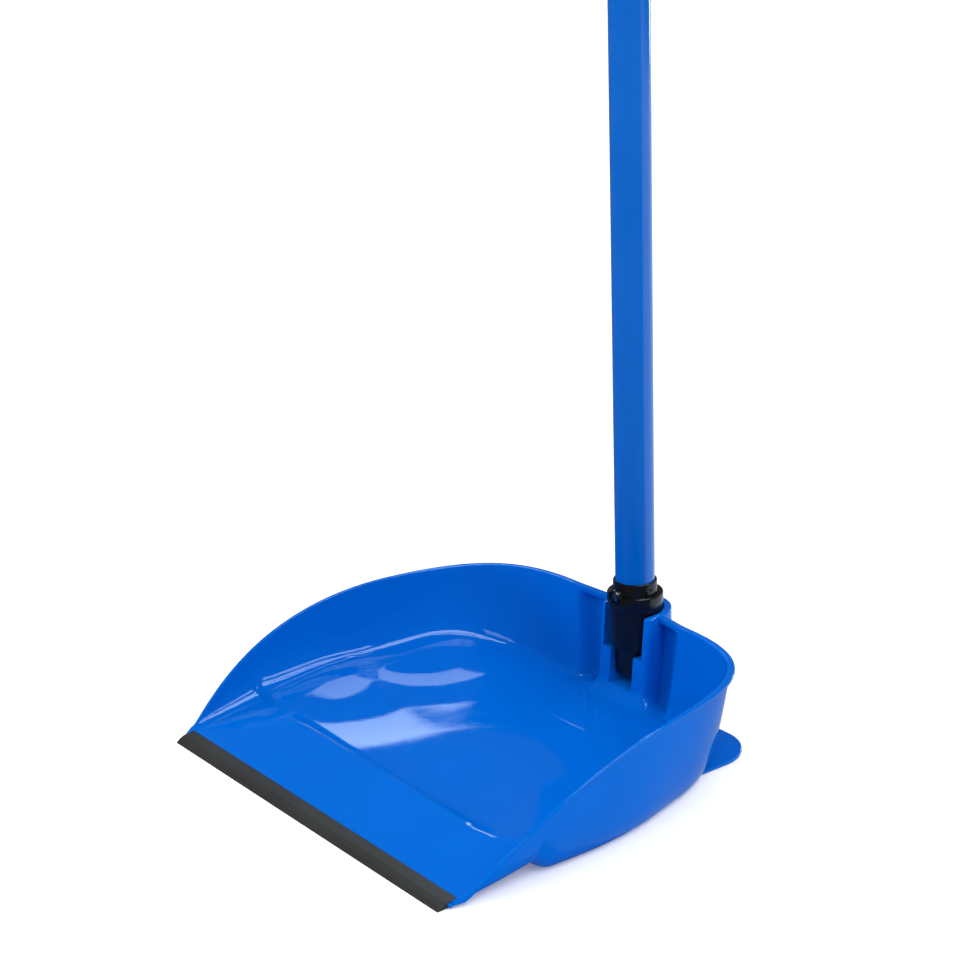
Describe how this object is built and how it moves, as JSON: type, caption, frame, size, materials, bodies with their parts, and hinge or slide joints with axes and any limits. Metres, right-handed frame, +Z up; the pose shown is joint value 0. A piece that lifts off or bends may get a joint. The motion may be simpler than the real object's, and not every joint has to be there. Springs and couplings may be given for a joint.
{
  "type": "lobby dustpan",
  "caption": "Moulded upright dustpan with a rubber lip, a rear foot plate and a hinged tube handle that folds forward over the tray.",
  "frame": {"origin": "on the floor, under the middle of the whole part's box, with the handle upright", "axes": "+Z up along the upright handle, -Y towards the mouth of the pan, +X to the right seen from the mouth's side towards the back"},
  "size_m": [0.2658, 0.2492, 0.85],
  "materials": {
    "pan": "gloss",
    "rubber_lip": "matt",
    "connector": "gloss",
    "ferrule": "satin",
    "fixing_screw": "satin",
    "hinge_pin": "satin",
    "handle_tube": "gloss coating",
    "end_cap": "satin"
  },
  "bodies": {
    "pan_body": {"pan": "pan", "rubber_lip": "rubber_lip"},
    "handle_body": {"connector": "connector", "ferrule": "ferrule", "fixing_screw": "fixing_screw", "hinge_pin": "hinge_pin", "handle_tube": "handle_tube", "end_cap": "end_cap"}
  },
  "joints": [
    {"name": "handle_fold", "type": "hinge", "parent": "pan_body", "child": "handle_body", "pos_m": [0, 0.1044, 0.017], "axis": [1, 0, 0], "range_deg": [0, 80]}
  ]
}
